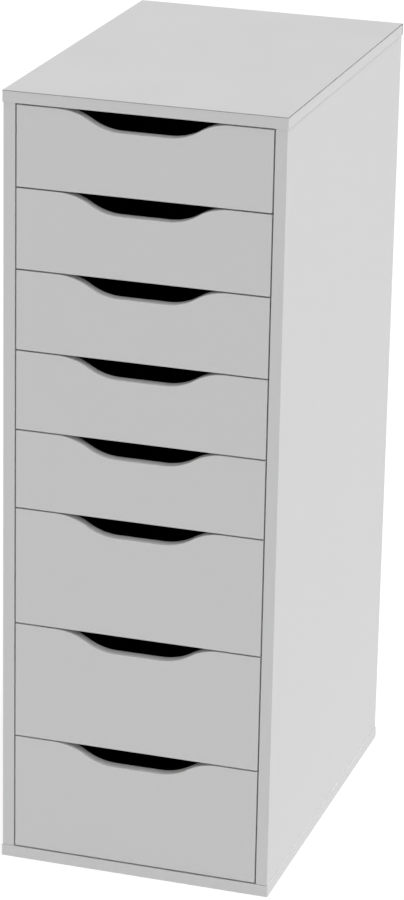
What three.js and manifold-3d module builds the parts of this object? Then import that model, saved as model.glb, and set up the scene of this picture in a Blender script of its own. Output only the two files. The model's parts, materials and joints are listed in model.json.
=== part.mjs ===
// A tall chest of eight inset drawers, five shallow above three deep, in lacquered board.
// Millimetres, +Z up. The origin is on the floor, under the middle of the whole chest.
// The drawers face -Y, and left and right are as seen by someone standing in front.

import * as THREE from 'three';
import { mergeVertices } from 'three/addons/utils/BufferGeometryUtils.js';
import Module from 'manifold-3d';

const wasm = await Module();
wasm.setup();

// ---- Driving dimensions ----

// Carcass
const WIDTH = 360;
const DEPTH = 528;
const BOARD = 15;
const OVERHANG = 1;
const BACK_THICKNESS = 3;
const BACK_INSET = 12;
const BACK_GROOVE_DEPTH = 6;

// Drawer fronts, inset in the carcass
const SMALL_FRONT_HEIGHT = 102;
const LARGE_FRONT_HEIGHT = 154;
const SMALL_DRAWERS = 5;
const LARGE_DRAWERS = 3;
const FRONT_THICKNESS = 14;
const FRONT_GAP = 2;

// Finger notch in the upper edge of each front: a flat floor between two S-shaped ends
const NOTCH_LENGTH = 218;
const NOTCH_FLOOR = 60;
const NOTCH_DEPTH = 23;

// Drawer boxes
const BOX_BOARD = 12;
const BOX_BELOW_NOTCH = 3;
const BOX_RISE = 8;
const BOX_REAR_CLEARANCE = 11;
const BOTTOM_THICKNESS = 3;
const BOTTOM_RISE = 8;
const BOTTOM_GROOVE_DEPTH = 5;

// Steel runners: a channel on the carcass side that enters a groove in the drawer side
const RUNNER_REAR_CLEARANCE = 49;
const RUNNER_HEIGHT = 16;
const RUNNER_STEEL = 1.2;
const RUNNER_ENGAGEMENT = 5;
const RUNNER_RISE = 22;
const RUNNER_SETBACK = 8;
const STOP_TAB_LENGTH = 8;
const STOP_TAB_HEIGHT = 6;
const RUNNER_SCREWS = 3;
const SCREW_HOLE_RADIUS = 2.2;
const SCREW_END_DISTANCE = 37;

// Clearances
const JOINT_GAP = 0.2;
const GROOVE_PLAY = 0.3;
const BOX_SIDE_CLEARANCE = 3;
const RUNNER_PLAY = 0.5;
const RUNNER_DEPTH_PLAY = 1;

// Facets
const ARC_SEGMENTS = 6;
const HOLE_SEGMENTS = 12;

// ---- Worked-out dimensions ----

const frontHeights = [
  ...Array(SMALL_DRAWERS).fill(SMALL_FRONT_HEIGHT),
  ...Array(LARGE_DRAWERS).fill(LARGE_FRONT_HEIGHT),
];
const carcassWidth = WIDTH - 2 * OVERHANG;
const carcassDepth = DEPTH - 2 * OVERHANG;
const innerWidth = carcassWidth - 2 * BOARD;
const innerHeight = frontHeights.reduce((sum, height) => sum + height + FRONT_GAP, FRONT_GAP);
const height = innerHeight + 2 * BOARD;

// Depths are counted rearwards from the front plane, which the drawer fronts share with the sides.
const frontPlane = -carcassDepth / 2;
const backPanelDepth = carcassDepth - BACK_INSET - BACK_THICKNESS;
const backGrooveWidth = BACK_THICKNESS + 2 * GROOVE_PLAY;
const backEngagement = BACK_GROOVE_DEPTH - GROOVE_PLAY;

const frontWidth = innerWidth - 2 * FRONT_GAP;
const boxWidth = innerWidth - 2 * BOX_SIDE_CLEARANCE;
const boxInnerWidth = boxWidth - 2 * BOX_BOARD;
const boxStart = FRONT_THICKNESS + JOINT_GAP;
const boxLength = backPanelDepth - BOX_REAR_CLEARANCE - boxStart;
const boxBackStart = boxStart + boxLength - BOX_BOARD;
const bottomGrooveHeight = BOTTOM_THICKNESS + 2 * GROOVE_PLAY;
const bottomGrooveLow = BOTTOM_RISE - GROOVE_PLAY;
const bottomGrooveHigh = bottomGrooveLow + bottomGrooveHeight;
const bottomEngagement = BOTTOM_GROOVE_DEPTH - GROOVE_PLAY;
const boxHeightOf = (frontHeight) => frontHeight - NOTCH_DEPTH - BOX_BELOW_NOTCH - BOX_RISE;

const runnerProjection = BOX_SIDE_CLEARANCE + RUNNER_ENGAGEMENT - JOINT_GAP;
const runnerGrooveHeight = RUNNER_HEIGHT + 2 * RUNNER_PLAY;
const runnerGrooveDepth = RUNNER_ENGAGEMENT + RUNNER_DEPTH_PLAY;
const runnerGrooveLow = RUNNER_RISE - RUNNER_PLAY;
const runnerGrooveHigh = runnerGrooveLow + runnerGrooveHeight;
const runnerStart = FRONT_THICKNESS + RUNNER_SETBACK;
const runnerLength = backPanelDepth - RUNNER_REAR_CLEARANCE - runnerStart;

// ---- Materials ----

const finish = (color, roughness, metalness = 0) =>
  () => new THREE.MeshStandardMaterial({ color, roughness, metalness });

const whiteLacquer = finish(0xe9e9e9, 0.45);
const blackFoil = finish(0x1c1c1d, 0.6);
const blackHardboard = finish(0x232324, 0.8);
const whiteHardboard = finish(0xdededb, 0.7);
const zincSteel = finish(0xb4b8ba, 0.35, 1);

// ---- Geometry helpers ----

// A closed solid for joining and cutting.
function solidFrom(geometry) {
  const bare = geometry.clone();
  bare.deleteAttribute('normal');
  bare.deleteAttribute('uv');
  const merged = mergeVertices(bare, 1e-4);
  const vertProperties = new Float32Array(merged.attributes.position.array);
  const triVerts = new Uint32Array(merged.index.array);
  return new wasm.Manifold(new wasm.Mesh({ numProp: 3, vertProperties, triVerts }));
}

// The finished solid as a three.js geometry.
function geometryFrom(solid) {
  const { vertProperties, triVerts } = solid.getMesh();
  const geometry = new THREE.BufferGeometry();
  geometry.setAttribute('position', new THREE.BufferAttribute(vertProperties, 3));
  geometry.setIndex(new THREE.BufferAttribute(triVerts, 1));
  geometry.computeVertexNormals();
  return geometry;
}

// A box from its lowest corner and its size.
function blockAt(corner, size) {
  const geometry = new THREE.BoxGeometry(...size);
  return geometry.translate(...corner.map((low, axis) => low + size[axis] / 2));
}

function shapeOf(points) {
  return new THREE.Shape(points.map(([across, up]) => new THREE.Vector2(across, up)));
}

// An outline in X and Z, carried rearwards along +Y.
function extrudeRearwards(shape, length) {
  const options = { depth: length, bevelEnabled: false, curveSegments: ARC_SEGMENTS };
  return new THREE.ExtrudeGeometry(shape, options).rotateX(Math.PI / 2).translate(0, length, 0);
}

// An outline in X and Y, carried up along +Z.
function extrudeUp(shape, length) {
  return new THREE.ExtrudeGeometry(shape, { depth: length, bevelEnabled: false });
}

// An outline in Y and Z, carried along +X and centred on X = 0.
function extrudeAcross(shape, length) {
  const geometry = new THREE.ExtrudeGeometry(shape, { depth: length, bevelEnabled: false });
  return geometry.rotateX(Math.PI / 2).rotateZ(Math.PI / 2).translate(-length / 2, 0, 0);
}

function part(name, geometry, material, position = [0, 0, 0]) {
  const mesh = new THREE.Mesh(geometry, material());
  mesh.name = name;
  mesh.position.set(...position);
  return mesh;
}

// The sign of X that points from each side towards the middle of the chest.
const sides = { left: 1, right: -1 };

// ---- Carcass ----

// Side panel, with a groove near the rear edge of its inner face for the back panel.
function sidePanelGeometry(inward) {
  const outer = 0;
  const inner = inward * BOARD;
  const floor = inward * (BOARD - BACK_GROOVE_DEPTH);
  const grooveFront = backPanelDepth - GROOVE_PLAY;
  const grooveRear = grooveFront + backGrooveWidth;
  const section = shapeOf([
    [outer, 0],
    [inner, 0],
    [inner, grooveFront],
    [floor, grooveFront],
    [floor, grooveRear],
    [inner, grooveRear],
    [inner, carcassDepth],
    [outer, carcassDepth],
  ]);
  return extrudeUp(section, innerHeight - 2 * JOINT_GAP);
}

// Top or base panel, with a stopped groove for the back panel that starts at grooveZ.
function capPanelGeometry(grooveZ) {
  const panel = blockAt([-WIDTH / 2, -DEPTH / 2, 0], [WIDTH, DEPTH, BOARD]);
  const grooveLength = innerWidth + 2 * BACK_GROOVE_DEPTH;
  const grooveFront = frontPlane + backPanelDepth - GROOVE_PLAY;
  const groove = blockAt(
    [-grooveLength / 2, grooveFront, grooveZ],
    [grooveLength, backGrooveWidth, BACK_GROOVE_DEPTH],
  );
  return geometryFrom(solidFrom(panel).subtract(solidFrom(groove)));
}

function backPanelGeometry() {
  const width = innerWidth + 2 * backEngagement;
  const tall = innerHeight + 2 * backEngagement;
  return blockAt([-width / 2, 0, 0], [width, BACK_THICKNESS, tall]);
}

// ---- Runners ----

// Steel channel open towards the drawer, with screw holes in its web and a stop tab at its front.
// root is how far the web reaches back into the side panel, which is nothing on a separate runner.
function runnerSolid(inward, root) {
  const back = -inward * root;
  const web = inward * RUNNER_STEEL;
  const reach = inward * runnerProjection;
  const upperFlange = RUNNER_HEIGHT - RUNNER_STEEL;
  const section = shapeOf([
    [back, 0],
    [reach, 0],
    [reach, RUNNER_STEEL],
    [web, RUNNER_STEEL],
    [web, upperFlange],
    [reach, upperFlange],
    [reach, RUNNER_HEIGHT],
    [back, RUNNER_HEIGHT],
  ]);
  let runner = solidFrom(extrudeRearwards(section, runnerLength));

  const tabReach = BOX_SIDE_CLEARANCE - JOINT_GAP - RUNNER_PLAY;
  const tab = blockAt(
    [inward > 0 ? 0 : -tabReach, 0, upperFlange],
    [tabReach, STOP_TAB_LENGTH, RUNNER_STEEL + STOP_TAB_HEIGHT],
  );
  runner = runner.add(solidFrom(tab));

  const spacing = (runnerLength - 2 * SCREW_END_DISTANCE) / (RUNNER_SCREWS - 1);
  for (let screw = 0; screw < RUNNER_SCREWS; screw += 1) {
    const along = SCREW_END_DISTANCE + screw * spacing;
    const drill = new THREE.CylinderGeometry(
      SCREW_HOLE_RADIUS, SCREW_HOLE_RADIUS, 3 * BOX_SIDE_CLEARANCE, HOLE_SEGMENTS,
    );
    drill.rotateZ(Math.PI / 2).translate(0, along, RUNNER_HEIGHT / 2);
    runner = runner.subtract(solidFrom(drill));
  }
  return runner;
}

// ---- Drawers ----
// Each drawer's own frame has its origin at the middle of the front's lower edge, on the front plane.

// Front outline. Each end of the notch is two equal arcs that meet where they turn over.
function frontOutline(frontHeight) {
  const run = (NOTCH_LENGTH - NOTCH_FLOOR) / 2;
  const radius = (run ** 2 + NOTCH_DEPTH ** 2) / (4 * NOTCH_DEPTH);
  const sweep = 2 * Math.atan(NOTCH_DEPTH / run);
  const up = Math.PI / 2;
  const down = -Math.PI / 2;
  const shoulder = frontHeight - radius;
  const hollow = frontHeight - NOTCH_DEPTH + radius;

  const outline = new THREE.Shape();
  outline.moveTo(-frontWidth / 2, 0);
  outline.lineTo(frontWidth / 2, 0);
  outline.lineTo(frontWidth / 2, frontHeight);
  outline.absarc(NOTCH_LENGTH / 2, shoulder, radius, up, up + sweep, false);
  outline.absarc(NOTCH_FLOOR / 2, hollow, radius, down + sweep, down, true);
  outline.absarc(-NOTCH_FLOOR / 2, hollow, radius, down, down - sweep, true);
  outline.absarc(-NOTCH_LENGTH / 2, shoulder, radius, up - sweep, up, false);
  outline.lineTo(-frontWidth / 2, frontHeight);
  return outline;
}

function drawerFrontGeometry(frontHeight) {
  const board = extrudeRearwards(frontOutline(frontHeight), FRONT_THICKNESS);
  const grooveLength = boxInnerWidth + 2 * BOTTOM_GROOVE_DEPTH;
  const groove = blockAt(
    [-grooveLength / 2, FRONT_THICKNESS - BOTTOM_GROOVE_DEPTH, BOX_RISE + bottomGrooveLow],
    [grooveLength, BOTTOM_GROOVE_DEPTH, bottomGrooveHeight],
  );
  return geometryFrom(solidFrom(board).subtract(solidFrom(groove)));
}

// Box side, with the runner's groove along its outer face and the bottom's groove inside.
function drawerSideGeometry(inward, boxHeight) {
  const inner = inward * BOX_BOARD;
  const bottomFloor = inward * (BOX_BOARD - BOTTOM_GROOVE_DEPTH);
  const runnerFloor = inward * runnerGrooveDepth;
  const section = shapeOf([
    [0, 0],
    [inner, 0],
    [inner, bottomGrooveLow],
    [bottomFloor, bottomGrooveLow],
    [bottomFloor, bottomGrooveHigh],
    [inner, bottomGrooveHigh],
    [inner, boxHeight],
    [0, boxHeight],
    [0, runnerGrooveHigh],
    [runnerFloor, runnerGrooveHigh],
    [runnerFloor, runnerGrooveLow],
    [0, runnerGrooveLow],
  ]);
  return extrudeRearwards(section, boxLength);
}

// Box back, which stands between the sides and holds the bottom in a groove.
function drawerBackGeometry(boxHeight) {
  const section = shapeOf([
    [0, 0],
    [BOX_BOARD, 0],
    [BOX_BOARD, boxHeight],
    [0, boxHeight],
    [0, bottomGrooveHigh],
    [BOTTOM_GROOVE_DEPTH, bottomGrooveHigh],
    [BOTTOM_GROOVE_DEPTH, bottomGrooveLow],
    [0, bottomGrooveLow],
  ]);
  return extrudeAcross(section, boxInnerWidth - 2 * JOINT_GAP);
}

function drawerBottomGeometry() {
  const width = boxInnerWidth + 2 * bottomEngagement;
  const start = FRONT_THICKNESS - bottomEngagement;
  const length = boxBackStart + bottomEngagement - start;
  return blockAt([-width / 2, start, 0], [width, length, BOTTOM_THICKNESS]);
}

function drawer(number, frontHeight) {
  const group = new THREE.Group();
  const boxHeight = boxHeightOf(frontHeight);
  const named = (piece) => `drawer_${number}_${piece}`;
  group.add(part(named('front'), drawerFrontGeometry(frontHeight), whiteLacquer));
  for (const [side, inward] of Object.entries(sides)) {
    const geometry = drawerSideGeometry(inward, boxHeight);
    const place = [-inward * boxWidth / 2, boxStart, BOX_RISE];
    group.add(part(named(`side_${side}`), geometry, blackFoil, place));
  }
  const backPlace = [0, boxBackStart, BOX_RISE];
  group.add(part(named('back'), drawerBackGeometry(boxHeight), blackFoil, backPlace));
  const bottomPlace = [0, 0, BOX_RISE + BOTTOM_RISE];
  group.add(part(named('bottom'), drawerBottomGeometry(), blackHardboard, bottomPlace));
  return group;
}

// ---- Assembly ----

const chest = new THREE.Group();
const sideBase = BOARD + JOINT_GAP;
const panelStock = {};
for (const [side, inward] of Object.entries(sides)) {
  panelStock[side] = solidFrom(sidePanelGeometry(inward));
}

let frontBase = height - BOARD;
frontHeights.forEach((frontHeight, index) => {
  const number = index + 1;
  frontBase -= FRONT_GAP + frontHeight;
  const body = drawer(number, frontHeight);
  body.position.set(0, frontPlane, frontBase);
  chest.add(body);

  const runnerBase = frontBase + BOX_RISE + RUNNER_RISE;
  for (const [side, inward] of Object.entries(sides)) {
    if (number < frontHeights.length) {
      const face = inward * (JOINT_GAP - innerWidth / 2);
      const place = [face, frontPlane + runnerStart, runnerBase];
      const geometry = geometryFrom(runnerSolid(inward, 0));
      chest.add(part(`runner_${side}_${number}`, geometry, zincSteel, place));
    } else {
      // The lowest pair is one piece with the side panels.
      const place = [inward * (BOARD + JOINT_GAP), runnerStart, runnerBase - sideBase];
      const joined = runnerSolid(inward, JOINT_GAP + RUNNER_STEEL).translate(place);
      panelStock[side] = panelStock[side].add(joined);
    }
  }
});

for (const [side, inward] of Object.entries(sides)) {
  const place = [-inward * carcassWidth / 2, frontPlane, sideBase];
  chest.add(part(`side_panel_${side}`, geometryFrom(panelStock[side]), whiteLacquer, place));
}
chest.add(part('top_panel', capPanelGeometry(0), whiteLacquer, [0, 0, height - BOARD]));
chest.add(part('base_panel', capPanelGeometry(BOARD - BACK_GROOVE_DEPTH), whiteLacquer));
const backPlace = [0, frontPlane + backPanelDepth, BOARD - backEngagement];
chest.add(part('back_panel', backPanelGeometry(), whiteHardboard, backPlace));

export default chest;
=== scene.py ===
import json
import math

import bmesh
import bpy
from mathutils import Matrix, Vector


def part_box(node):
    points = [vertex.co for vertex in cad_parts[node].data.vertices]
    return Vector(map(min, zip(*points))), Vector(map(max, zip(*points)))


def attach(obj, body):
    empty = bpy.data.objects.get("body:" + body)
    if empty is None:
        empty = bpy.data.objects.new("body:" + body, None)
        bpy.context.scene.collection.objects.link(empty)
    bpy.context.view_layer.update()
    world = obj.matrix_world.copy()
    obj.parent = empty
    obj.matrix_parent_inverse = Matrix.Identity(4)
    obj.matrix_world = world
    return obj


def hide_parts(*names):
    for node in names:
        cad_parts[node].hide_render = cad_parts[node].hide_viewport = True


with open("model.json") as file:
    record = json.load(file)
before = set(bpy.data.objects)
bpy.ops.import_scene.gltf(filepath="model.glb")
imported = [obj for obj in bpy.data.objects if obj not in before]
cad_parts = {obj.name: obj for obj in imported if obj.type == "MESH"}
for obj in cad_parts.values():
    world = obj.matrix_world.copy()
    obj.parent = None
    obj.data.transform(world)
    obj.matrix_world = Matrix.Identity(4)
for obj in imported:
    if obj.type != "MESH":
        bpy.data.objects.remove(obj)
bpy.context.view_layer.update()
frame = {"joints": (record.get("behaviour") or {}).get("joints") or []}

MM = 0.001

# ---- Camera: a long lens, looking down on the right front corner ----
# Angles are in degrees, counted as for the lights. The place is in metres, the lens and sensor in mm.
CAMERA_AZIMUTH = 17.313
CAMERA_ELEVATION = 19.725
CAMERA_ROLL = 1.165
CAMERA_LENS = 144.83
CAMERA_SENSOR = 36
CAMERA_PLACE = (1.3229, -4.2476, 2.0881)

# ---- Light: a dim even room, wide soft sources high on the right, at the front right and behind ----
# Azimuth 0 is in front and 90 on the right. Angles are in degrees.
WORLD_STRENGTH = 0.06
OVERHEAD_LIGHT = {"azimuth": 90, "elevation": 63.6, "spread": 40, "strength": 1.98}
FRONT_LIGHT = {"azimuth": 35, "elevation": 52, "spread": 30, "strength": 0.874}
REAR_LIGHT = {"azimuth": 235, "elevation": 45, "spread": 60, "strength": 0.54}
FLOOR_GLOW = 0.86
FLOOR_REACH = 120
FLOOR_THICKNESS = 10 * MM

# ---- Finger notch in the upper edge of each front ----
NOTCH_LENGTH = 218 * MM
NOTCH_FLOOR = 60 * MM
NOTCH_DEPTH = 23 * MM
FRONT_COLUMNS = 217
MERGE_DISTANCE = 0.01 * MM

# ---- Boards ----
BOARD = 15 * MM
FRONT_THICKNESS = 14 * MM
LACQUER_EDGE = 0.25 * MM
FOIL_EDGE = 0.4 * MM
HARDBOARD_EDGE = 0.25 * MM
LAMINATE = 1.0 * MM
REAR_BAND = 2.6 * MM
LAMINATE_CHAMFER = 0.2 * MM
GROOVE_PLAY = 0.3 * MM
SHARP_EDGE_ANGLE = 35

# ---- Runners ----
RUNNER_STEEL = 1.2 * MM
RUNNER_PLAY = 0.5 * MM
RUNNER_DEPTH_PLAY = 1.0 * MM
RUNNER_BEND = 0.45 * MM
RUNNER_EDGE = 0.18 * MM
BEND_STEPS = 4
SLOT_END_STEPS = 6
TAB_HEIGHT = 6 * MM
TAB_LENGTH = 8 * MM
TAB_REACH = 2.3 * MM
SLOT_LENGTH = 14 * MM
SLOT_WIDTH = 4.4 * MM
SLOT_PLACES = (0.27, 0.73)
SCREW_END_DISTANCE = 37 * MM

# ---- Drawer stops: a nylon block on each drawer side that meets the runner's tab ----
STOP_LENGTH = 14 * MM
STOP_HEIGHT = 5 * MM
STOP_THICKNESS = 2.2 * MM
STOP_CLEARANCE = 0.6 * MM
STOP_EDGE = 0.8 * MM

# ---- Cams behind the fronts, and screws into the drawer backs ----
CAM_DISTANCE = 24 * MM
DEEP_DRAWER = 100 * MM
SHALLOW_CAM_LEVELS = (0.6,)
DEEP_CAM_LEVELS = (0.35, 0.8)
LOWER_SCREW_LEVEL = 10 * MM
UPPER_SCREW_LEVEL = 13 * MM

# ---- Round heads with a cross recess ----
HEAD_SIDES = 20
CROWN_SHARE = 0.62
ARM_SHARE = 0.26
RECESS_SINK_SHARE = 0.5
RUNNER_SCREW_HEAD = {"Radius": 3.4 * MM, "Height": 0.6 * MM, "Crown": 1.2 * MM, "Recess": 3.4 * MM}
CAM_HEAD = {"Radius": 7.5 * MM, "Height": 0.2 * MM, "Crown": 0.5 * MM, "Recess": 7 * MM}
DRAWER_SCREW_HEAD = {"Radius": 3.8 * MM, "Height": 0.3 * MM, "Crown": 0.4 * MM, "Recess": 3.2 * MM}

# Drawer 1 is the uppermost. Each side has the direction, along X, that leads inwards from it.
DRAWERS = range(1, 9)
SIDES = {"left": 1, "right": -1}


# ---- Materials ----

# A noise pattern mostly stays between these two values.
NOISE_LOW = 0.3
NOISE_HIGH = 0.7

# A fleck starts where its noise passes the first value, less its share, and is full at the second.
FLECK_START = 0.64
FLECK_FULL = 0.7


def linear(hex_colour):
    """An sRGB hex value such as "E6E6E4" as linear red, green, blue and alpha."""
    parts = [int(hex_colour[i:i + 2], 16) / 255 for i in (0, 2, 4)]
    return [p / 12.92 if p <= 0.04045 else ((p + 0.055) / 1.055) ** 2.4 for p in parts] + [1.0]


def add_node(tree, kind, sockets=None, **settings):
    """Adds one node. sockets gives each named or numbered input a value, or the output that feeds it."""
    made = tree.nodes.new(kind)
    for name, value in settings.items():
        setattr(made, name, value)
    for key, value in (sockets or {}).items():
        if isinstance(value, bpy.types.NodeSocket):
            tree.links.new(value, made.inputs[key])
        else:
            made.inputs[key].default_value = value
    return made


def surface(
    name, light, dark, patch, roughness, grain, relief,
    stretch=(1, 1, 1), cells=False, flecks=None, **shine,
):
    """A finish whose colour drifts between two hex values over patch metres, with a fine surface relief.

    roughness is (smoothest, roughest), grain the size of the relief in metres, and relief its height.
    stretch draws the pattern out along an axis. cells makes the drift crystals with clear borders.
    flecks is (hex colour, size in metres, share covered). shine is for the shader's own sockets.
    """
    made = bpy.data.materials.new(name)
    made.use_nodes = True
    tree = made.node_tree
    tree.nodes.clear()
    where = add_node(tree, "ShaderNodeTexCoord")
    mapped = add_node(tree, "ShaderNodeMapping", {"Vector": where.outputs["Object"], "Scale": stretch})
    if cells:
        crystals = add_node(tree, "ShaderNodeTexVoronoi", {"Vector": mapped.outputs[0], "Scale": 1 / patch})
        drift = add_node(tree, "ShaderNodeSeparateColor", {0: crystals.outputs["Color"]})
    else:
        drift = add_node(
            tree, "ShaderNodeTexNoise",
            {"Vector": mapped.outputs[0], "Scale": 1 / patch, "Detail": 3.0, "Roughness": 0.6},
        )
    tint = add_node(
        tree, "ShaderNodeMix",
        {"Factor": drift.outputs[0], 6: linear(dark), 7: linear(light)},
        data_type="RGBA",
    )
    if flecks:
        colour, size, share = flecks
        scatter = add_node(
            tree, "ShaderNodeTexNoise",
            {"Vector": mapped.outputs[0], "Scale": 1 / size, "Detail": 1.0, "Roughness": 0.4},
        )
        chosen = add_node(
            tree, "ShaderNodeMapRange",
            {
                "Value": scatter.outputs[0],
                "From Min": FLECK_START - share,
                "From Max": FLECK_FULL - share,
            },
        )
        tint = add_node(
            tree, "ShaderNodeMix",
            {"Factor": chosen.outputs[0], 6: tint.outputs[2], 7: linear(colour)},
            data_type="RGBA",
        )
    gloss = add_node(
        tree, "ShaderNodeMapRange",
        {
            "Value": drift.outputs[0],
            "From Min": NOISE_LOW,
            "From Max": NOISE_HIGH,
            "To Min": roughness[0],
            "To Max": roughness[1],
        },
    )
    fine = add_node(
        tree, "ShaderNodeTexNoise",
        {"Vector": mapped.outputs[0], "Scale": 1 / grain, "Detail": 2.0, "Roughness": 0.5},
    )
    bump = add_node(
        tree, "ShaderNodeBump",
        {"Height": fine.outputs[0], "Strength": 1.0, "Distance": relief},
    )
    shader = add_node(
        tree, "ShaderNodeBsdfPrincipled",
        {
            "Base Color": tint.outputs[2],
            "Roughness": gloss.outputs[0],
            "Normal": bump.outputs[0],
            **shine,
        },
    )
    add_node(tree, "ShaderNodeOutputMaterial", {"Surface": shader.outputs[0]})
    return made


SATIN = {"IOR": 1.5, "Specular IOR Level": 0.25}

# White satin lacquer, sprayed on wood-fibre board: a calm, even white with faint orange peel 2.5 mm across.
satin_lacquer = surface(
    "satin_white_lacquer", "DBDBDB", "D9D9D9", 0.12, (0.52, 0.6), 0.0025, 0.00003, **SATIN,
)

# High-pressure laminate on the top: the same white, slightly duller, with a pearl texture 0.9 mm across.
laminate_decor = surface(
    "white_laminate", "DBDBDB", "D9D9D9", 0.1, (0.55, 0.63), 0.0009, 0.00002, **SATIN,
)

# The laminate's resin and paper core, which shows as a fine dark line along the top's long edges.
laminate_core = surface(
    "laminate_core", "5C5A57", "504E4B", 0.006, (0.55, 0.65), 0.0005, 0.00001, IOR=1.55,
)

# The same edge at the front and rear, where the edge band has been trimmed over it: a paler grey line.
covered_core = surface(
    "covered_laminate_core", "A9A8A6", "9D9C9A", 0.006, (0.55, 0.65), 0.0005, 0.00001, IOR=1.55,
)

# Near-black foil on particleboard for the drawer boxes: the black is painted shade, standing in for the
# shadow inside the drawers. Dry, with embossed pores 0.5 mm wide along the board.
painted_shade_foil = surface(
    "painted_shade_black_foil", "2C2C2D", "262627", 0.05, (0.48, 0.6), 0.0005, 0.00006,
    stretch=(1, 0.2, 1), flecks=("1E1E1F", 0.0012, 0.06), IOR=1.5,
)

# Near-black hardboard for the drawer bottoms: the dark tone is painted shade, standing in for the shadow
# inside the drawers. Pressed fibres about 4 mm long, with paler ones scattered among them.
painted_shade_hardboard = surface(
    "painted_shade_hardboard", "2F2F30", "232324", 0.004, (0.66, 0.82), 0.0008, 0.00008,
    stretch=(1, 0.3, 1), flecks=("454546", 0.0016, 0.02), IOR=1.5,
)

# Painted hardboard on the rear: off-white, with the fibres just telling through the paint.
painted_hardboard = surface(
    "painted_hardboard", "DBDBDA", "D6D6D4", 0.03, (0.6, 0.75), 0.0015, 0.00006,
    stretch=(1, 1, 0.4), flecks=("CFCFCC", 0.003, 0.03), IOR=1.5,
)

# Bright zinc on folded sheet steel: cool grey, with a spangle of crystals about 5 mm across.
zinc_steel = surface(
    "zinc_plated_steel", "C6CACC", "AEB3B6", 0.005, (0.26, 0.42), 0.0008, 0.00001,
    stretch=(1, 0.5, 1), cells=True, Metallic=1.0,
)

# Nickel on screws and cams: warmer and brighter than zinc, with a fine tumbled surface.
nickel_steel = surface(
    "nickel_plated_steel", "CFCBC2", "B9B4AA", 0.004, (0.22, 0.34), 0.0005, 0.00001, Metallic=1.0,
)

# Moulded nylon stops: mid grey, waxy, with the mould's spark-eroded texture 0.6 mm across.
nylon = surface(
    "moulded_nylon", "8F9193", "828486", 0.01, (0.4, 0.5), 0.0006, 0.00003, IOR=1.53,
)

# Opal acrylic for the studio floor, lit from below: a dull, even white with a matt grain 2 mm across.
opal_acrylic = surface(
    "opal_acrylic", "787878", "757575", 0.5, (0.8, 0.9), 0.002, 0.00001, IOR=1.49,
    **{"Emission Color": (1, 1, 1, 1), "Emission Strength": FLOOR_GLOW},
)


# ---- Mesh helpers ----

def new_object(name, mesh, *materials):
    """A mesh as an object in the scene, with its materials in order."""
    made = bpy.data.objects.new(name, mesh)
    bpy.context.scene.collection.objects.link(made)
    for m in materials:
        mesh.materials.append(m)
    return made


def prism(name, material, outline, axis, start, end):
    """A closed solid: an outline in the two other axes, in X, Y, Z order, carried along axis."""
    bm = bmesh.new()
    rings = []
    for along in (start, end):
        ring = []
        for a, b in outline:
            corner = [a, b]
            corner.insert("XYZ".index(axis), along)
            ring.append(bm.verts.new(corner))
        rings.append(ring)
    bm.faces.new(rings[0])
    bm.faces.new(rings[1])
    count = len(outline)
    for i in range(count):
        j = (i + 1) % count
        bm.faces.new((rings[0][i], rings[0][j], rings[1][j], rings[1][i]))
    bmesh.ops.recalc_face_normals(bm, faces=bm.faces)
    mesh = bpy.data.meshes.new(name)
    bm.to_mesh(mesh)
    bm.free()
    return new_object(name, mesh, material)


def block(name, material, low, high):
    """A box between two corners."""
    outline = [(low[0], low[1]), (high[0], low[1]), (high[0], high[1]), (low[0], high[1])]
    return prism(name, material, outline, "Z", low[2], high[2])


def settle(obj):
    """Turns an object and its modifiers into a plain mesh."""
    graph = bpy.context.evaluated_depsgraph_get()
    mesh = bpy.data.meshes.new_from_object(obj.evaluated_get(graph))
    mesh.name = obj.name
    obj.modifiers.clear()
    obj.data = mesh
    return obj


def combine(obj, tool, operation):
    """Cuts tool out of obj, or joins it on, and removes tool."""
    change = obj.modifiers.new("combine", "BOOLEAN")
    change.operation = operation
    change.solver = "EXACT"
    change.object = tool
    settle(obj)
    bpy.data.objects.remove(tool)
    return obj


def ease(obj, radius, segments=3):
    """Rounds the sharp edges and keeps the flat faces shading flat."""
    for face in obj.data.polygons:
        face.use_smooth = True
    rounding = obj.modifiers.new("rounding", "BEVEL")
    rounding.width = radius
    rounding.segments = segments
    rounding.limit_method = "ANGLE"
    rounding.angle_limit = math.radians(SHARP_EDGE_ANGLE)
    shading = obj.modifiers.new("shading", "WEIGHTED_NORMAL")
    shading.keep_sharp = False
    return settle(obj)


def place(obj, body, slot, *nodes):
    """Puts a finished piece on its body, in place of the CAD nodes it stands for, which it hides. slot is
    not used.
    """
    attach(obj, body)
    if nodes:
        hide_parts(*nodes)
    return obj


# ---- Geometry Nodes ----

def new_tree(name, sockets):
    """A node tree with a geometry input and output, and the named inputs given as (name, kind)."""
    tree = bpy.data.node_groups.new(name, "GeometryNodeTree")
    tree.interface.new_socket("Geometry", in_out="INPUT", socket_type="NodeSocketGeometry")
    for label, kind in sockets:
        tree.interface.new_socket(label, in_out="INPUT", socket_type="NodeSocket" + kind)
    tree.interface.new_socket("Geometry", in_out="OUTPUT", socket_type="NodeSocketGeometry")
    return tree


def grow(obj, tree, **values):
    """Runs a tree on an object with its named inputs set, and leaves a plain mesh."""
    modifier = obj.modifiers.new(tree.name, "NODES")
    modifier.node_group = tree
    for item in tree.interface.items_tree:
        if item.item_type == "SOCKET" and item.in_out == "INPUT" and item.name in values:
            modifier[item.identifier] = values[item.name]
    return settle(obj)


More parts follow.
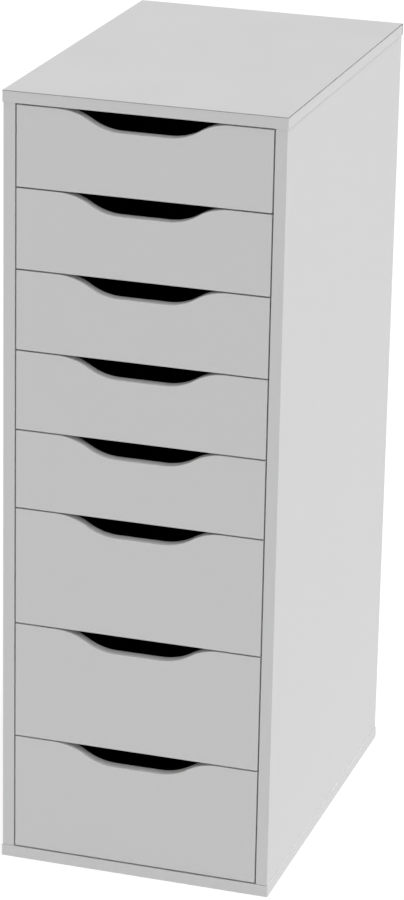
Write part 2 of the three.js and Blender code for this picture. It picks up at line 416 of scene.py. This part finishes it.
def front_tree():
    """A board whose upper edge dips into a notch with a flat floor and two S-shaped ends."""
    tree = new_tree("notched_front", [
        ("Width", "Float"), ("Height", "Float"), ("Thickness", "Float"), ("Columns", "Int"),
        ("NotchLength", "Float"), ("NotchFloor", "Float"), ("NotchDepth", "Float"), ("Finish", "Material"),
    ])
    given = add_node(tree, "NodeGroupInput").outputs

    def calc(operation, *values):
        sockets = dict(enumerate(values))
        return add_node(tree, "ShaderNodeMath", sockets, operation=operation).outputs[0]

    run = calc("DIVIDE", calc("SUBTRACT", given["NotchLength"], given["NotchFloor"]), 2.0)
    depth_square = calc("MULTIPLY", given["NotchDepth"], given["NotchDepth"])
    squares = calc("ADD", calc("MULTIPLY", run, run), depth_square)
    radius = calc("DIVIDE", squares, calc("MULTIPLY", given["NotchDepth"], 4.0))
    half_run = calc("DIVIDE", run, 2.0)

    def arc_drop(distance):
        """How far an arc of the notch's radius falls away from its tangent at that distance."""
        held = calc("MINIMUM", calc("MAXIMUM", distance, 0.0), half_run)
        inside = calc("SUBTRACT", calc("MULTIPLY", radius, radius), calc("MULTIPLY", held, held))
        return calc("SUBTRACT", radius, calc("SQRT", inside))

    grid = add_node(
        tree, "GeometryNodeMeshGrid",
        {"Size X": given["Width"], "Size Y": 1.0, "Vertices X": given["Columns"], "Vertices Y": 2},
    )
    here = add_node(tree, "GeometryNodeInputPosition")
    split = add_node(tree, "ShaderNodeSeparateXYZ", {0: here.outputs[0]}).outputs
    across = calc("ABSOLUTE", split["X"])
    past_floor = calc("SUBTRACT", across, calc("DIVIDE", given["NotchFloor"], 2.0))
    before_shoulder = calc("SUBTRACT", calc("DIVIDE", given["NotchLength"], 2.0), across)
    dip = calc("ADD", arc_drop(before_shoulder), calc("DIVIDE", given["NotchDepth"], 2.0))
    dip = calc("SUBTRACT", dip, arc_drop(past_floor))
    upper = calc("GREATER_THAN", split["Y"], 0.0)
    level = calc("MULTIPLY", upper, calc("SUBTRACT", given["Height"], dip))
    spot = add_node(tree, "ShaderNodeCombineXYZ", {"X": split["X"], "Y": given["Thickness"], "Z": level})
    rear = add_node(
        tree, "GeometryNodeSetPosition", {"Geometry": grid.outputs["Mesh"], "Position": spot.outputs[0]},
    )
    forwards = add_node(tree, "ShaderNodeCombineXYZ", {"Y": -1.0})
    body = add_node(
        tree, "GeometryNodeExtrudeMesh",
        {
            "Mesh": rear.outputs[0],
            "Offset": forwards.outputs[0],
            "Offset Scale": given["Thickness"],
            "Individual": False,
        },
    )
    rear_face = add_node(tree, "GeometryNodeFlipFaces", {"Mesh": rear.outputs[0]})
    joined = add_node(tree, "GeometryNodeJoinGeometry")
    tree.links.new(body.outputs["Mesh"], joined.inputs[0])
    tree.links.new(rear_face.outputs[0], joined.inputs[0])
    closed = add_node(
        tree, "GeometryNodeMergeByDistance", {"Geometry": joined.outputs[0], "Distance": MERGE_DISTANCE},
    )
    real = add_node(tree, "GeometryNodeRealizeInstances", {"Geometry": closed.outputs[0]})
    done = add_node(
        tree, "GeometryNodeSetMaterial", {"Geometry": real.outputs[0], "Material": given["Finish"]},
    )
    add_node(tree, "NodeGroupOutput", {"Geometry": done.outputs[0]})
    return tree


def head_tree():
    """A round head with a chamfered crown and a cross recess on each point, facing along its attribute."""
    tree = new_tree("fitting_heads", [
        ("Radius", "Float"), ("Height", "Float"), ("Crown", "Float"), ("Recess", "Float"),
        ("Finish", "Material"),
    ])
    given = add_node(tree, "NodeGroupInput").outputs

    def calc(operation, *values):
        sockets = dict(enumerate(values))
        return add_node(tree, "ShaderNodeMath", sockets, operation=operation).outputs[0]

    def lifted(mesh, height):
        offset = add_node(tree, "ShaderNodeCombineXYZ", {"Z": height})
        moved = add_node(tree, "GeometryNodeTransform", {"Geometry": mesh, "Translation": offset.outputs[0]})
        return moved.outputs[0]

    rim = add_node(
        tree, "GeometryNodeMeshCylinder",
        {"Vertices": HEAD_SIDES, "Radius": given["Radius"], "Depth": given["Height"]},
    )
    crown = add_node(
        tree, "GeometryNodeMeshCone",
        {
            "Vertices": HEAD_SIDES,
            "Radius Top": calc("MULTIPLY", given["Radius"], CROWN_SHARE),
            "Radius Bottom": given["Radius"],
            "Depth": given["Crown"],
        },
    )
    half_height = calc("DIVIDE", given["Height"], 2.0)
    arms = []
    for long_side, short_side in (("X", "Y"), ("Y", "X")):
        size = add_node(
            tree, "ShaderNodeCombineXYZ",
            {
                long_side: given["Recess"],
                short_side: calc("MULTIPLY", given["Recess"], ARM_SHARE),
                "Z": calc("MULTIPLY", given["Recess"], RECESS_SINK_SHARE),
            },
        )
        arm = add_node(tree, "GeometryNodeMeshCube", {"Size": size.outputs[0]})
        arms.append(lifted(arm.outputs["Mesh"], calc("ADD", given["Height"], given["Crown"])))
    head = add_node(tree, "GeometryNodeMeshBoolean", operation="UNION")
    tree.links.new(lifted(rim.outputs["Mesh"], half_height), head.inputs["Mesh 2"])
    tree.links.new(lifted(crown.outputs["Mesh"], given["Height"]), head.inputs["Mesh 2"])
    driven = add_node(tree, "GeometryNodeMeshBoolean", {"Mesh 1": head.outputs[0]}, operation="DIFFERENCE")
    for arm in arms:
        tree.links.new(arm, driven.inputs["Mesh 2"])
    facing = add_node(tree, "GeometryNodeInputNamedAttribute", {"Name": "facing"}, data_type="FLOAT_VECTOR")
    turned = add_node(tree, "FunctionNodeAlignRotationToVector", {"Vector": facing.outputs[0]}, axis="Z")
    copies = add_node(
        tree, "GeometryNodeInstanceOnPoints",
        {"Points": given["Geometry"], "Instance": driven.outputs[0], "Rotation": turned.outputs[0]},
    )
    real = add_node(tree, "GeometryNodeRealizeInstances", {"Geometry": copies.outputs[0]})
    done = add_node(
        tree, "GeometryNodeSetMaterial", {"Geometry": real.outputs[0], "Material": given["Finish"]},
    )
    add_node(tree, "NodeGroupOutput", {"Geometry": done.outputs[0]})
    return tree


NOTCHED_FRONT = front_tree()
FITTING_HEADS = head_tree()


def heads(name, body, spots, sizes):
    """One piece of identical nickel-plated heads for a body. spots holds (point, direction) pairs."""
    mesh = bpy.data.meshes.new(name)
    mesh.from_pydata([tuple(point) for point, _ in spots], [], [])
    facing = mesh.attributes.new("facing", "FLOAT_VECTOR", "POINT")
    facing.data.foreach_set("vector", [c for _, direction in spots for c in direction])
    made = new_object(name, mesh, nickel_steel)
    grow(made, FITTING_HEADS, Finish=nickel_steel, **sizes)
    place(made, body, "zinc_steel")


# ---- Carcass ----

def upper_front_edge(number):
    """How far drawer 1's front stands above the front of this drawer."""
    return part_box("drawer_1_front")[0].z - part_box(f"drawer_{number}_front")[0].z


def runner_box(side, number):
    """The corners of a runner, which stands as far above its drawer's lower edge as drawer 1's does."""
    drop = Vector((0, 0, upper_front_edge(number)))
    low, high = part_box(f"runner_{side}_1")
    return low - drop, high - drop


def side_board(side):
    """A side panel, with the groove for the back panel in its inner face."""
    inward = SIDES[side]
    low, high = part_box(f"side_panel_{side}")
    back_low, back_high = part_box("back_panel")
    outer = low.x if inward > 0 else high.x
    inner = outer + inward * BOARD
    floor = (back_low.x if inward > 0 else back_high.x) - inward * GROOVE_PLAY
    groove_front = back_low.y - GROOVE_PLAY
    groove_rear = back_high.y + GROOVE_PLAY
    outline = [
        (outer, low.y),
        (inner, low.y),
        (inner, groove_front),
        (floor, groove_front),
        (floor, groove_rear),
        (inner, groove_rear),
        (inner, high.y),
        (outer, high.y),
    ]
    board = ease(prism(f"{side}_side_board", satin_lacquer, outline, "Z", low.z, high.z), LACQUER_EDGE)
    place(board, "carcass", "white_lacquer", f"side_panel_{side}")


def cap_board(name, node, low, high, opening):
    """The top or base board, with a stopped groove for the back panel cut from above or below."""
    back_low, back_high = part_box("back_panel")
    play = Vector((GROOVE_PLAY, GROOVE_PLAY, GROOVE_PLAY))
    cut_low = back_low - play
    cut_high = back_high + play
    if opening == "below":
        cut_low.z = low.z - BOARD
    else:
        cut_high.z = high.z + BOARD
    board = block(name, satin_lacquer, low, high)
    combine(board, block("groove_cutter", satin_lacquer, cut_low, cut_high), "DIFFERENCE")
    ease(board, LACQUER_EDGE)
    place(board, "carcass", "white_lacquer", node)


def top_laminate(low, high):
    """The skin on the top, trimmed flush and chamfered, so that its core shows all round the edge."""
    skin = block("top_laminate", laminate_decor, low, high)
    skin.data.materials.append(laminate_core)
    skin.data.materials.append(covered_core)
    decor, core, covered = range(3)
    for face in skin.data.polygons:
        if face.normal.z > 0.5:
            face.material_index = decor
        elif abs(face.normal.x) > 0.5:
            face.material_index = core
        else:
            face.material_index = covered
    ease(skin, LAMINATE_CHAMFER, 1)
    place(skin, "carcass", "white_lacquer", "top_panel")


def rear_band(low, high):
    """The thick band on the top's rear edge. Its ends show their dark core at the sides."""
    band = block("top_rear_band", satin_lacquer, low, high)
    band.data.materials.append(laminate_core)
    lacquer, core = range(2)
    for face in band.data.polygons:
        face.material_index = core if abs(face.normal.x) > 0.5 else lacquer
    ease(band, LAMINATE_CHAMFER, 1)
    place(band, "carcass", "white_lacquer", "top_panel")


def top():
    """The top board, with the band on its rear edge and the laminate over both."""
    low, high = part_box("top_panel")
    skin_level = high.z - LAMINATE
    band_start = high.y - REAR_BAND
    cap_board("top_board", "top_panel", low, Vector((high.x, band_start, skin_level)), "below")
    rear_band(Vector((low.x, band_start, low.z)), Vector((high.x, high.y, skin_level)))
    top_laminate(Vector((low.x, low.y, skin_level)), high)


def base():
    """The base board, which the sides stand on."""
    low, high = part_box("base_panel")
    cap_board("base_board", "base_panel", low, high, "above")


def back_sheet():
    """The hardboard back, held in the grooves of the four boards round it."""
    low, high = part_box("back_panel")
    sheet = ease(block("back_sheet", painted_hardboard, low, high), HARDBOARD_EDGE, 2)
    place(sheet, "carcass", "back_hardboard", "back_panel")


def arc(centre, radius, start, end, steps=BEND_STEPS):
    """Points on an arc, in degrees."""
    turns = [math.radians(start + (end - start) * i / steps) for i in range(steps + 1)]
    return [(centre[0] + radius * math.cos(t), centre[1] + radius * math.sin(t)) for t in turns]


def channel_outline(depth, height):
    """A folded channel with its web on X = 0 and its flanges reaching along +X, from Z = 0."""
    outer = RUNNER_STEEL + RUNNER_BEND
    inner = RUNNER_BEND
    return [
        (depth, 0),
        *arc((outer, outer), outer, 270, 180),
        *arc((outer, height - outer), outer, 180, 90),
        (depth, height),
        (depth, height - RUNNER_STEEL),
        *arc((outer, height - outer), inner, 90, 180),
        *arc((outer, outer), inner, 180, 270),
        (depth, RUNNER_STEEL),
    ]


def slot_outline(centre, length, width):
    """A slot with round ends, long in Y, in the Y and Z axes."""
    half = (length - width) / 2
    y, z = centre
    front_end = arc((y - half, z), width / 2, 90, 270, SLOT_END_STEPS)
    rear_end = arc((y + half, z), width / 2, -90, 90, SLOT_END_STEPS)
    return rear_end + front_end


def runner(side, number):
    """A folded steel channel with a stop tab, open towards the drawer, with two slots in its web."""
    inward = SIDES[side]
    low, high = runner_box(side, number)
    web = low.x if inward > 0 else high.x
    height = high.z - low.z - TAB_HEIGHT
    outline = [(web + inward * x, low.z + z) for x, z in channel_outline(high.x - low.x, height)]
    channel = prism(f"{side}_runner_{number}", zinc_steel, outline, "Y", low.y, high.y)
    reach = web + inward * TAB_REACH
    tab = block(
        "tab", zinc_steel,
        (min(web, reach), low.y, low.z + height - RUNNER_STEEL),
        (max(web, reach), low.y + TAB_LENGTH, high.z),
    )
    combine(channel, tab, "UNION")
    middle = low.z + height / 2
    for share in SLOT_PLACES:
        along = low.y + (high.y - low.y) * share
        slot = prism(
            "slot", zinc_steel, slot_outline((along, middle), SLOT_LENGTH, SLOT_WIDTH), "X",
            web - inward * RUNNER_STEEL, web + inward * 2 * RUNNER_STEEL,
        )
        combine(channel, slot, "DIFFERENCE")
    ease(channel, RUNNER_EDGE, 1)
    node = f"runner_{side}_{number}" if number < len(DRAWERS) else f"side_panel_{side}"
    place(channel, "carcass", "zinc_steel", node)


def runner_screws():
    """Three screws in the web of every runner."""
    spots = []
    for number in DRAWERS:
        for side, inward in SIDES.items():
            low, high = runner_box(side, number)
            web = (low.x if inward > 0 else high.x) + inward * RUNNER_STEEL
            middle = low.z + (high.z - low.z - TAB_HEIGHT) / 2
            ends = (low.y + SCREW_END_DISTANCE, high.y - SCREW_END_DISTANCE)
            for along in (ends[0], sum(ends) / 2, ends[1]):
                spots.append((Vector((web, along, middle)), (inward, 0, 0)))
    heads("runner_screws", "carcass", spots, RUNNER_SCREW_HEAD)


# ---- Drawers ----

def notched_front(number):
    """A drawer front, with the groove for the drawer bottom in its rear face."""
    node = f"drawer_{number}_front"
    low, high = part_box(node)
    bottom_low, bottom_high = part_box(f"drawer_{number}_bottom")
    front = new_object(f"drawer_{number}_notched_front", bpy.data.meshes.new(node), satin_lacquer)
    grow(
        front, NOTCHED_FRONT,
        Width=high.x - low.x,
        Height=high.z - low.z,
        Thickness=high.y - low.y,
        Columns=FRONT_COLUMNS,
        NotchLength=NOTCH_LENGTH,
        NotchFloor=NOTCH_FLOOR,
        NotchDepth=NOTCH_DEPTH,
        Finish=satin_lacquer,
    )
    front.data.transform(Matrix.Translation((0, low.y, low.z)))
    play = Vector((GROOVE_PLAY, GROOVE_PLAY, GROOVE_PLAY))
    groove_low = bottom_low - play
    groove_high = bottom_high + play
    groove_high.y = high.y + FRONT_THICKNESS
    combine(front, block("groove_cutter", satin_lacquer, groove_low, groove_high), "DIFFERENCE")
    ease(front, LACQUER_EDGE)
    place(front, f"drawer_{number}", "white_lacquer", node)


def box_side(side, number):
    """A drawer side, with the runner's groove outside and the bottom's groove inside."""
    inward = SIDES[side]
    node = f"drawer_{number}_side_{side}"
    low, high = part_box(node)
    bottom_low, bottom_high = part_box(f"drawer_{number}_bottom")
    runner_low, runner_high = runner_box(side, number)
    left = inward > 0
    outer, inner = (low.x, high.x) if left else (high.x, low.x)
    bottom_floor = (bottom_low.x if left else bottom_high.x) - inward * GROOVE_PLAY
    runner_floor = (runner_high.x if left else runner_low.x) + inward * RUNNER_DEPTH_PLAY
    groove_top = runner_high.z - TAB_HEIGHT + RUNNER_PLAY
    groove_foot = runner_low.z - RUNNER_PLAY
    outline = [
        (outer, low.z),
        (inner, low.z),
        (inner, bottom_low.z - GROOVE_PLAY),
        (bottom_floor, bottom_low.z - GROOVE_PLAY),
        (bottom_floor, bottom_high.z + GROOVE_PLAY),
        (inner, bottom_high.z + GROOVE_PLAY),
        (inner, high.z),
        (outer, high.z),
        (outer, groove_top),
        (runner_floor, groove_top),
        (runner_floor, groove_foot),
        (outer, groove_foot),
    ]
    # The black foil on the drawer side is painted shade, standing in for the shadow inside the drawer.
    board = prism(f"drawer_{number}_{side}_board", painted_shade_foil, outline, "Y", low.y, high.y)
    place(ease(board, FOIL_EDGE, 2), f"drawer_{number}", "black_foil", node)


def box_back(number):
    """A drawer back, with the bottom's groove in its front face."""
    node = f"drawer_{number}_back"
    low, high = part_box(node)
    bottom_low, bottom_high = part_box(f"drawer_{number}_bottom")
    floor = bottom_high.y + GROOVE_PLAY
    outline = [
        (low.y, low.z),
        (high.y, low.z),
        (high.y, high.z),
        (low.y, high.z),
        (low.y, bottom_high.z + GROOVE_PLAY),
        (floor, bottom_high.z + GROOVE_PLAY),
        (floor, bottom_low.z - GROOVE_PLAY),
        (low.y, bottom_low.z - GROOVE_PLAY),
    ]
    # The black foil on the drawer back is painted shade, standing in for the shadow inside the drawer.
    board = prism(f"drawer_{number}_rear_board", painted_shade_foil, outline, "X", low.x, high.x)
    place(ease(board, FOIL_EDGE, 2), f"drawer_{number}", "black_foil", node)


def box_bottom(number):
    """A drawer bottom, a hardboard sheet held in the grooves of the front, the sides and the back."""
    node = f"drawer_{number}_bottom"
    low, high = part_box(node)
    # The drawer bottom's near-black tone is painted shade, standing in for the shadow inside the drawer.
    sheet = ease(block(f"drawer_{number}_floor_sheet", painted_shade_hardboard, low, high), HARDBOARD_EDGE, 2)
    place(sheet, f"drawer_{number}", "drawer_hardboard", node)


def box_fittings(number):
    """Cams that draw the sides to the front, and screws through the sides into the back."""
    body = f"drawer_{number}"
    back_low, back_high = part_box(f"drawer_{number}_back")
    cams = []
    screws = []
    for side, inward in SIDES.items():
        low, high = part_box(f"drawer_{number}_side_{side}")
        outer, inner = (low.x, high.x) if inward > 0 else (high.x, low.x)
        tall = high.z - low.z
        for level in DEEP_CAM_LEVELS if tall > DEEP_DRAWER else SHALLOW_CAM_LEVELS:
            spot = Vector((inner, low.y + CAM_DISTANCE, low.z + tall * level))
            cams.append((spot, (inward, 0, 0)))
        for level in (low.z + LOWER_SCREW_LEVEL, high.z - UPPER_SCREW_LEVEL):
            spot = Vector((outer, (back_low.y + back_high.y) / 2, level))
            screws.append((spot, (-inward, 0, 0)))
    heads(f"drawer_{number}_cams", body, cams, CAM_HEAD)
    heads(f"drawer_{number}_screws", body, screws, DRAWER_SCREW_HEAD)


def box_stops(number):
    """A block on each side that meets the runner's tab when the drawer is fully out."""
    joint = next(j for j in frame["joints"] if j["name"] == f"drawer_{number}_slide")
    travel = max(joint["range_m"])
    for side, inward in SIDES.items():
        low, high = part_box(f"drawer_{number}_side_{side}")
        runner_low, runner_high = runner_box(side, number)
        outer = low.x if inward > 0 else high.x
        proud = outer - inward * STOP_THICKNESS
        front = runner_low.y + TAB_LENGTH + travel + STOP_CLEARANCE
        foot = runner_high.z - TAB_HEIGHT + STOP_CLEARANCE
        stop = block(
            f"drawer_{number}_{side}_stop", nylon,
            (min(outer, proud), front, foot),
            (max(outer, proud), front + STOP_LENGTH, foot + STOP_HEIGHT),
        )
        place(ease(stop, STOP_EDGE), f"drawer_{number}", "black_foil")


# ---- Assembly ----

top()
base()
back_sheet()
for side in SIDES:
    side_board(side)
for number in DRAWERS:
    for side in SIDES:
        runner(side, number)
        box_side(side, number)
    notched_front(number)
    box_back(number)
    box_bottom(number)
    box_fittings(number)
    box_stops(number)
runner_screws()


# ---- Floor, light and camera ----

def studio_floor():
    """A plain pale floor of opal acrylic, lit from below."""
    reach = FLOOR_REACH
    outline = [(-reach, -reach), (reach, -reach), (reach, reach), (-reach, reach)]
    floor = prism("studio_floor", opal_acrylic, outline, "Z", -FLOOR_THICKNESS, 0)


def soft_sun(name, azimuth, elevation, spread, strength):
    """An even light from one direction, as wide as spread."""
    turn = math.radians(azimuth)
    rise = math.radians(elevation)
    data = bpy.data.lights.new(name, "SUN")
    data.angle = math.radians(spread)
    data.energy = strength
    made = bpy.data.objects.new(name, data)
    bpy.context.scene.collection.objects.link(made)
    source = Vector((
        math.sin(turn) * math.cos(rise),
        -math.cos(turn) * math.cos(rise),
        math.sin(rise),
    ))
    made.rotation_euler = source.to_track_quat("Z", "Y").to_euler()


def studio_world(strength):
    """An even white room round everything."""
    world = bpy.data.worlds.new("studio_world")
    world.use_nodes = True
    background = world.node_tree.nodes["Background"]
    background.inputs["Color"].default_value = (1, 1, 1, 1)
    background.inputs["Strength"].default_value = strength
    bpy.context.scene.world = world


def studio_camera():
    """The camera, turned by azimuth and elevation, then rolled about its own axis."""
    azimuth = math.radians(CAMERA_AZIMUTH)
    elevation = math.radians(CAMERA_ELEVATION)
    roll = math.radians(CAMERA_ROLL)
    back = Vector((
        math.sin(azimuth) * math.cos(elevation),
        -math.cos(azimuth) * math.cos(elevation),
        math.sin(elevation),
    ))
    right = (-back).cross(Vector((0, 0, 1))).normalized()
    up = right.cross(-back)
    across = right * math.cos(roll) + up * math.sin(roll)
    upright = up * math.cos(roll) - right * math.sin(roll)
    turn = Matrix((across, upright, back)).transposed().to_4x4()
    data = bpy.data.cameras.new("camera")
    data.lens = CAMERA_LENS
    data.sensor_width = CAMERA_SENSOR
    camera = bpy.data.objects.new("camera", data)
    bpy.context.scene.collection.objects.link(camera)
    camera.matrix_world = Matrix.Translation(CAMERA_PLACE) @ turn
    bpy.context.scene.camera = camera


studio_floor()
studio_world(WORLD_STRENGTH)
soft_sun("overhead_light", **OVERHEAD_LIGHT)
soft_sun("front_light", **FRONT_LIGHT)
soft_sun("rear_light", **REAR_LIGHT)
bpy.context.scene.view_settings.view_transform = "Standard"
studio_camera()
